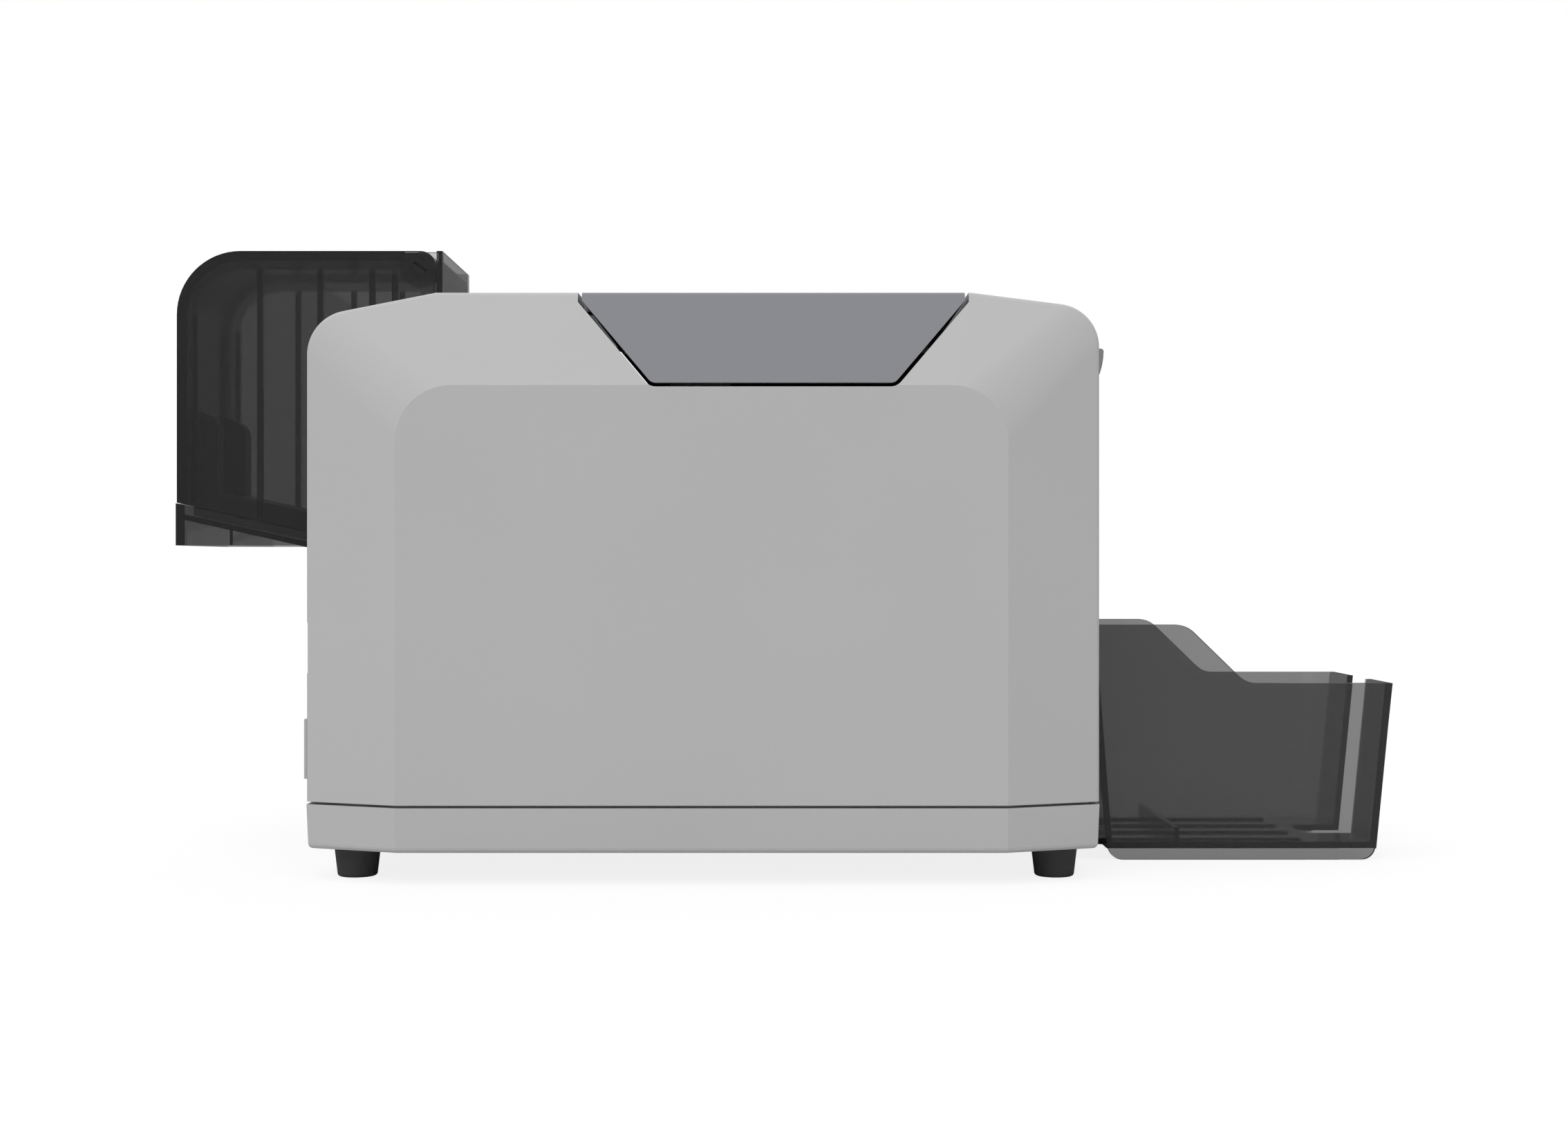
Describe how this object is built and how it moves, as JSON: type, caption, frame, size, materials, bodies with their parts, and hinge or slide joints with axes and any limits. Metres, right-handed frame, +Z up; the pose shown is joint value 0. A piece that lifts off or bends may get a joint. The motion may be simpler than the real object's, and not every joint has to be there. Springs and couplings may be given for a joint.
{
  "type": "card printer",
  "caption": "Desktop plastic card printer with a bevelled housing, a flush hinged lid, a smoke input hopper with a hinged cover and a smoke output hopper.",
  "frame": {"origin": "centre of the bounding box's bottom, on the table", "axes": "+X towards the output hopper, -Y the pictured side, +Z up"},
  "size_m": [0.4376, 0.2, 0.219],
  "materials": {
    "housing_grey": "fine moulded texture",
    "lid_grey": "fine moulded texture, blue-grey",
    "lever_grey": "smooth moulded",
    "smoke": "clear smoke-tinted plastic, polished",
    "foot_rubber": "matte black rubber",
    "roller_rubber": "ground rubber on a steel shaft",
    "black_plastic": "satin black moulding",
    "weight_black": "satin black moulding",
    "sheet_steel": "zinc-plated sheet",
    "steel": "ground steel",
    "gear_white": "natural acetal",
    "brass": "sintered bronze",
    "motor_black": "black oxide",
    "sink_metal": "extruded",
    "board_green": "solder mask",
    "ribbon_film": "dye film",
    "core_white": "moulded core with dye film wound on it",
    "ceramic": "glazed ceramic",
    "display": "clear window over a dark display",
    "light_green": "clear light pipe",
    "button_grey": "satin"
  },
  "bodies": {
    "chassis": {"base_pan": "housing_grey", "housing": "housing_grey", "foot_rear_near": "foot_rubber", "foot_rear_far": "foot_rubber", "foot_front_near": "foot_rubber", "foot_front_far": "foot_rubber", "base_screws": "steel", "lid_hinge_pins": "steel", "hopper_base": "smoke", "hopper_pivot_pins": "black_plastic", "side_plate_near": "sheet_steel", "side_plate_far": "sheet_steel", "tie_rods": "steel", "shaft_bushes": "brass", "card_rail_near": "black_plastic", "card_rail_far": "black_plastic", "main_motor": "motor_black", "ribbon_motor": "motor_black", "ribbon_film": "ribbon_film", "main_board": "board_green", "fan_frame": "black_plastic", "power_inlet": "black_plastic", "usb_port": "steel", "network_port": "steel", "switch_frame": "black_plastic", "control_panel": "black_plastic", "display_window": "display", "status_lights": "light_green"},
    "lid": {"lid": "lid_grey", "head_bracket": "sheet_steel", "printhead": "ceramic", "heat_sink": "sink_metal"},
    "release_lever": {"release_lever": "lever_grey"},
    "hopper_cover": {"hopper_cover": "smoke"},
    "card_weight": {"card_weight": "weight_black"},
    "output_hopper": {"output_hopper": "smoke"},
    "button_left": {"button_left": "button_grey"},
    "button_right": {"button_right": "button_grey"},
    "power_rocker": {"power_rocker": "black_plastic"},
    "fan_rotor": {"fan_rotor": "black_plastic"},
    "pick_shaft": {"pick_roller": "roller_rubber", "pick_gear": "gear_white"},
    "feed_shaft": {"feed_roller": "roller_rubber", "feed_gear": "gear_white"},
    "platen_shaft": {"platen_roller": "roller_rubber", "platen_gear": "gear_white"},
    "transport_shaft": {"transport_roller": "roller_rubber", "transport_gear": "gear_white"},
    "exit_shaft": {"exit_roller": "roller_rubber", "exit_gear": "gear_white"},
    "idler_1": {"idler_gear_1": "gear_white"},
    "idler_2": {"idler_gear_2": "gear_white"},
    "idler_3": {"idler_gear_3": "gear_white"},
    "idler_4": {"idler_gear_4": "gear_white"},
    "motor_pinion": {"motor_pinion": "brass"},
    "cleaning_roller": {"cleaning_roller": "roller_rubber"},
    "pinch_roller": {"pinch_roller": "steel"},
    "exit_pinch_roller": {"exit_pinch_roller": "steel"},
    "supply_spool": {"supply_spool": "core_white"},
    "takeup_spool": {"takeup_spool": "core_white"}
  },
  "joints": [
    {"name": "lid_hinge", "type": "hinge", "parent": "chassis", "child": "lid", "pos_m": [-0.0645, 0, 0.1947], "axis": [0, -1, 0], "range_deg": [0, 75]},
    {"name": "lever_pivot", "type": "hinge", "parent": "chassis", "child": "release_lever", "pos_m": [0.10055, 0, 0.1657], "axis": [0, -1, 0], "range_deg": [0, 12], "stiffness_Nm_per_rad": 0.3, "springref_deg": -5.73},
    {"name": "cover_hinge", "type": "hinge", "parent": "chassis", "child": "hopper_cover", "pos_m": [-0.1304, 0, 0.2133], "axis": [0, 1, 0], "range_deg": [0, 80]},
    {"name": "weight_slide", "type": "slide", "parent": "chassis", "child": "card_weight", "axis": [0, 0, 1], "range_m": [0, 0.032]},
    {"name": "bin_slide", "type": "slide", "parent": "chassis", "child": "output_hopper", "axis": [1, 0, 0], "range_m": [0, 0.06]},
    {"name": "button_left_press", "type": "slide", "parent": "chassis", "child": "button_left", "axis": [-1, 0, 0], "range_m": [0, 0.0008], "stiffness_N_per_m": 300, "springref_m": -0.0005},
    {"name": "button_right_press", "type": "slide", "parent": "chassis", "child": "button_right", "axis": [-1, 0, 0], "range_m": [0, 0.0008], "stiffness_N_per_m": 300, "springref_m": -0.0005},
    {"name": "rocker_pivot", "type": "hinge", "parent": "chassis", "child": "power_rocker", "pos_m": [-0.15465, -0.078, 0.044], "axis": [0, 1, 0], "range_deg": [0, 16]},
    {"name": "fan_spin", "type": "hinge", "parent": "chassis", "child": "fan_rotor", "pos_m": [-0.15165, 0.062, 0.062], "axis": [1, 0, 0], "continuous": true},
    {"name": "platen_turn", "type": "hinge", "parent": "chassis", "child": "platen_shaft", "pos_m": [-0.02365, 0, 0.08336], "axis": [0, 1, 0], "continuous": true},
    {"name": "exit_turn", "type": "hinge", "parent": "chassis", "child": "exit_shaft", "pos_m": [0.08792, 0, 0.0736], "axis": [0, 1, 0], "continuous": true},
    {"name": "transport_turn", "type": "hinge", "parent": "chassis", "child": "transport_shaft", "pos_m": [0.03213, 0, 0.07848], "axis": [0, 1, 0], "continuous": true},
    {"name": "feed_turn", "type": "hinge", "parent": "chassis", "child": "feed_shaft", "pos_m": [-0.07944, 0, 0.08824], "axis": [0, 1, 0], "continuous": true},
    {"name": "pick_turn", "type": "hinge", "parent": "chassis", "child": "pick_shaft", "pos_m": [-0.13523, 0, 0.09312], "axis": [0, 1, 0], "continuous": true},
    {"name": "idler_1_turn", "type": "hinge", "parent": "chassis", "child": "idler_1", "pos_m": [0.06003, 0, 0.07604], "axis": [0, 1, 0], "continuous": true},
    {"name": "idler_2_turn", "type": "hinge", "parent": "chassis", "child": "idler_2", "pos_m": [0.00424, 0, 0.08092], "axis": [0, 1, 0], "continuous": true},
    {"name": "idler_3_turn", "type": "hinge", "parent": "chassis", "child": "idler_3", "pos_m": [-0.05155, 0, 0.0858], "axis": [0, 1, 0], "continuous": true},
    {"name": "idler_4_turn", "type": "hinge", "parent": "chassis", "child": "idler_4", "pos_m": [-0.10733, 0, 0.09068], "axis": [0, 1, 0], "continuous": true},
    {"name": "pinion_turn", "type": "hinge", "parent": "chassis", "child": "motor_pinion", "pos_m": [0.00215, 0, 0.05701], "axis": [0, 1, 0], "continuous": true},
    {"name": "cleaning_turn", "type": "hinge", "parent": "chassis", "child": "cleaning_roller", "pos_m": [-0.07815, 0, 0.10295], "axis": [0, 1, 0], "continuous": true},
    {"name": "pinch_turn", "type": "hinge", "parent": "chassis", "child": "pinch_roller", "pos_m": [0.03342, 0, 0.09318], "axis": [0, 1, 0], "continuous": true},
    {"name": "exit_pinch_turn", "type": "hinge", "parent": "chassis", "child": "exit_pinch_roller", "pos_m": [0.08921, 0, 0.0883], "axis": [0, 1, 0], "continuous": true},
    {"name": "supply_turn", "type": "hinge", "parent": "chassis", "child": "supply_spool", "pos_m": [-0.05, 0, 0.134], "axis": [0, 1, 0], "continuous": true},
    {"name": "takeup_turn", "type": "hinge", "parent": "chassis", "child": "takeup_spool", "pos_m": [0.048, 0, 0.13], "axis": [0, 1, 0], "continuous": true}
  ],
  "couplings": [
    {"joint": "exit_turn", "follows": "platen_turn", "ratio": 1},
    {"joint": "transport_turn", "follows": "platen_turn", "ratio": 1},
    {"joint": "feed_turn", "follows": "platen_turn", "ratio": 1},
    {"joint": "pick_turn", "follows": "platen_turn", "ratio": 1},
    {"joint": "idler_1_turn", "follows": "platen_turn", "ratio": -0.75},
    {"joint": "idler_2_turn", "follows": "platen_turn", "ratio": -0.75},
    {"joint": "idler_3_turn", "follows": "platen_turn", "ratio": -0.75},
    {"joint": "idler_4_turn", "follows": "platen_turn", "ratio": -0.75},
    {"joint": "pinion_turn", "follows": "platen_turn", "ratio": 1.5},
    {"joint": "takeup_turn", "follows": "supply_turn", "ratio": 1.625}
  ]
}
